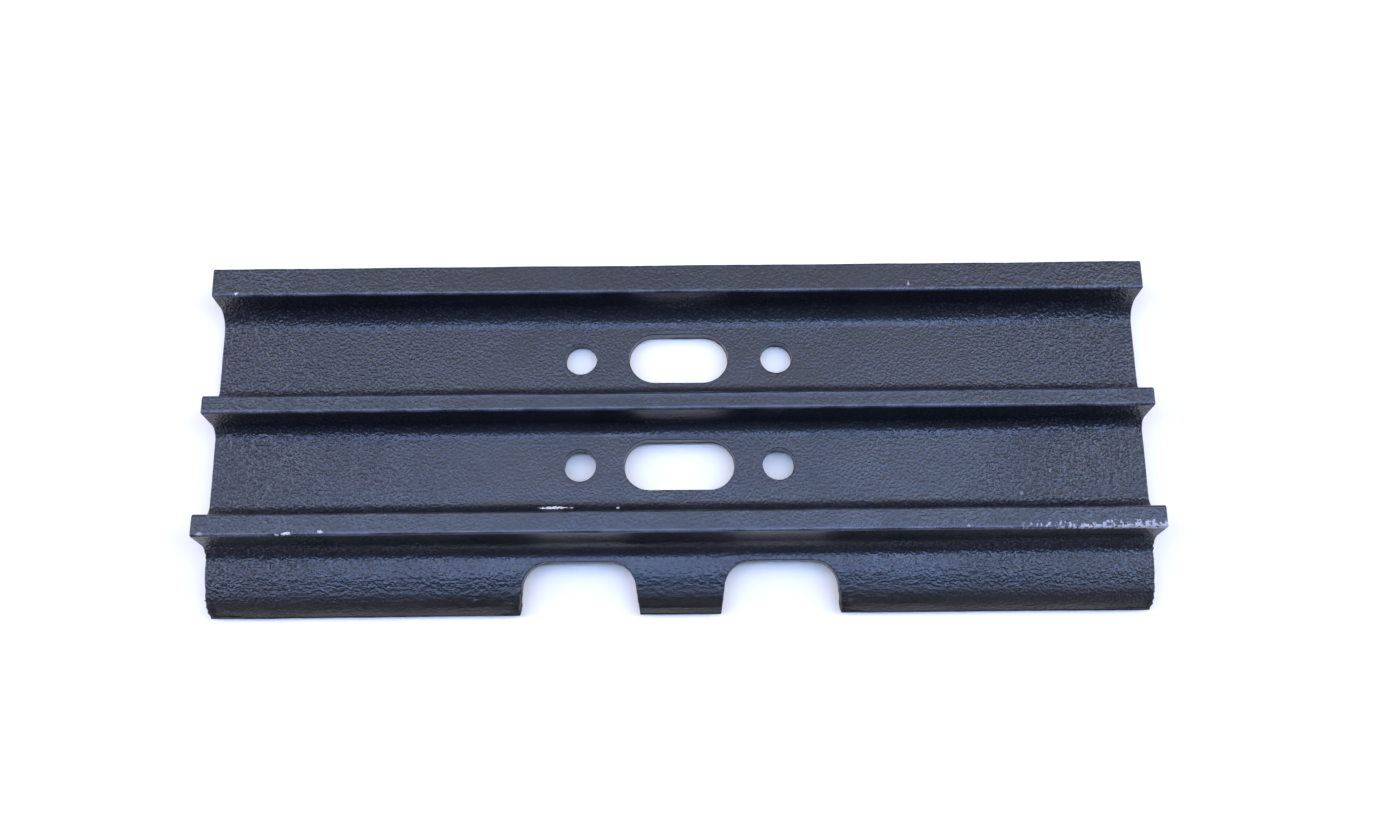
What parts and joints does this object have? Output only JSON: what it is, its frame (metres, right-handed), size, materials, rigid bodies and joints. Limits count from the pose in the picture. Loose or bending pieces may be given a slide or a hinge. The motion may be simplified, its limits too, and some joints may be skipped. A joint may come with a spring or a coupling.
{
  "type": "excavator track shoe",
  "caption": "Grousered steel track shoe for a small excavator, with a curved notched lip, a hollowed tail, punched bolt holes and centre slots for shedding soil.",
  "frame": {"origin": "centre of the bolt pattern, on the flat underside that the track links carry", "axes": "+X across the track, along the grousers; +Y along the track, from the curved lip to the tail; +Z out of the track, towards the ground that the grousers bite"},
  "size_m": [0.45, 0.1687, 0.0366],
  "materials": {
    "painted_steel": "semi-gloss dark slate paint over hot-rolled scale"
  },
  "bodies": {
    "root": {"track_shoe": "painted_steel"}
  },
  "joints": []
}
